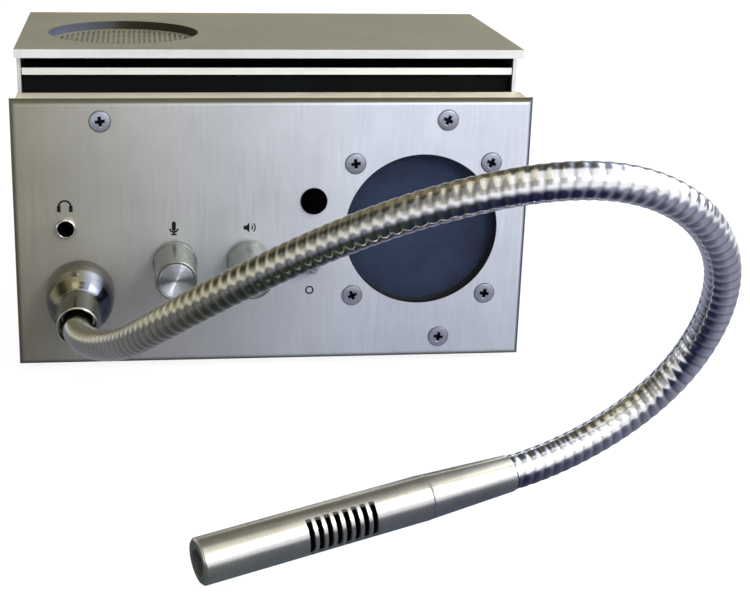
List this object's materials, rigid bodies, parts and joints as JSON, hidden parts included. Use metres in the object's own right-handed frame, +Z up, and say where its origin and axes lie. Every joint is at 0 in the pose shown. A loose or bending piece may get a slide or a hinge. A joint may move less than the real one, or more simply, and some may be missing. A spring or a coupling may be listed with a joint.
{
  "type": "teller window intercom",
  "caption": "Box-shaped counter intercom with speaker, two volume knobs, on/off switch, headset jack and a microphone on a posable gooseneck.",
  "frame": {"origin": "on the surface that the rubber base stands on, under the middle of the box", "axes": "+Z up, -Y out of the front panel towards the user of the microphone, +X to the right of the front panel as it is faced"},
  "size_m": [0.2257, 0.3096, 0.1245],
  "materials": {
    "panel_metal": "brushed",
    "case_metal": "brushed",
    "black_rubber": "matte",
    "screw_steel": "dark zinc",
    "plated_steel": "plated",
    "dark_foam": "foam",
    "mesh_cloth": "fine perforated, slate blue",
    "magnet_ferrite": "ferrite",
    "cone_paper": "paper cone",
    "shaft_steel": "turned",
    "knob_metal": "satin turned",
    "knob_face": "spun bright",
    "bright_metal": "polished",
    "black_plastic": "black",
    "dark_lens": "black lens",
    "socket_metal": "polished",
    "neck_metal": "satin nickel",
    "mic_metal": "satin",
    "board_laminate": "solder mask",
    "brass_posts": "plain"
  },
  "bodies": {
    "box": {"front_panel": "panel_metal", "chassis_shell": "case_metal", "inner_frame": "case_metal", "vent_lid": "case_metal", "rubber_base": "black_rubber", "top_plate": "case_metal", "vent_grille": "case_metal", "panel_screws": "screw_steel", "panel_spacers": "plated_steel", "side_screws": "screw_steel", "speaker_gasket": "dark_foam", "speaker_mesh": "mesh_cloth", "speaker_frame": "plated_steel", "speaker_magnet": "magnet_ferrite", "speaker_cone": "cone_paper", "speaker_screws": "screw_steel", "speaker_nuts": "plated_steel", "talk_pot": "plated_steel", "listen_pot": "plated_steel", "pot_nuts": "plated_steel", "switch_body": "plated_steel", "switch_nut": "plated_steel", "lamp_bezel": "black_plastic", "lamp_lens": "dark_lens", "lamp_led": "black_plastic", "headset_jack": "black_plastic", "jack_nut": "bright_metal", "gooseneck_socket": "socket_metal", "socket_nut": "plated_steel", "gooseneck_root": "neck_metal", "circuit_board": "board_laminate", "board_posts": "brass_posts", "board_screws": "screw_steel", "capacitors": "black_plastic", "heat_sink": "case_metal", "rear_panel": "case_metal", "cable_grommet": "black_rubber", "terminal_strip": "black_plastic", "terminal_screws": "brass_posts"},
    "talk_knob_unit": {"talk_shaft": "shaft_steel", "talk_knob": "knob_metal", "talk_knob_disc": "knob_face", "talk_set_screw": "screw_steel"},
    "listen_knob_unit": {"listen_shaft": "shaft_steel", "listen_knob": "knob_metal", "listen_knob_disc": "knob_face", "listen_set_screw": "screw_steel"},
    "lever": {"switch_lever": "bright_metal"},
    "neck_1": {"gooseneck_1": "neck_metal"},
    "neck_2": {"gooseneck_2": "neck_metal"},
    "neck_3": {"gooseneck_3": "neck_metal"},
    "neck_4": {"gooseneck_4": "neck_metal"},
    "neck_5": {"gooseneck_5": "neck_metal"},
    "neck_6": {"gooseneck_6": "neck_metal"},
    "mic_head": {"gooseneck_7": "neck_metal", "mic_tail": "mic_metal", "mic_barrel": "mic_metal", "mic_screen": "black_plastic", "mic_capsule": "black_plastic", "mic_pad": "dark_foam"}
  },
  "joints": [
    {"name": "neck_bend_1", "type": "hinge", "parent": "box", "child": "neck_1", "pos_m": [-0.065, -0.1307, 0.0368], "axis": [-0.9079, -0.4192, 0], "range_deg": [-20, 20]},
    {"name": "neck_bend_2", "type": "hinge", "parent": "neck_1", "child": "neck_2", "pos_m": [-0.0454, -0.1692, 0.058], "axis": [-0.3109, 0.4303, 0.8475], "range_deg": [-20, 20]},
    {"name": "neck_bend_3", "type": "hinge", "parent": "neck_2", "child": "neck_3", "pos_m": [-0.0049, -0.2034, 0.0908], "axis": [-0.5384, -0.8427, 0], "range_deg": [-20, 20]},
    {"name": "neck_bend_4", "type": "hinge", "parent": "neck_3", "child": "neck_4", "pos_m": [0.0365, -0.2251, 0.1126], "axis": [-0.3001, 0.1102, 0.9475], "range_deg": [-20, 20]},
    {"name": "neck_bend_5", "type": "hinge", "parent": "neck_4", "child": "neck_5", "pos_m": [0.0776, -0.2318, 0.1184], "axis": [0.0979, -0.9952, 0], "range_deg": [-20, 20]},
    {"name": "neck_bend_6", "type": "hinge", "parent": "neck_5", "child": "neck_6", "pos_m": [0.12, -0.208, 0.0836], "axis": [0.3835, 0.7433, 0.5481], "range_deg": [-20, 20]},
    {"name": "neck_bend_7", "type": "hinge", "parent": "neck_6", "child": "mic_head", "pos_m": [0.1133, -0.1917, 0.0443], "axis": [0.1974, 0.9803, 0], "range_deg": [-20, 20]},
    {"name": "talk_knob_turn", "type": "hinge", "parent": "box", "child": "talk_knob_unit", "pos_m": [-0.039, -0.07, 0.0437], "axis": [0, -1, 0], "range_deg": [-150, 150]},
    {"name": "listen_knob_turn", "type": "hinge", "parent": "box", "child": "listen_knob_unit", "pos_m": [-0.0105, -0.07, 0.0437], "axis": [0, -1, 0], "range_deg": [-150, 150]},
    {"name": "switch_throw", "type": "hinge", "parent": "box", "child": "lever", "pos_m": [0.014, -0.0602, 0.0425], "axis": [1, 0, 0], "range_deg": [0, 24]}
  ]
}
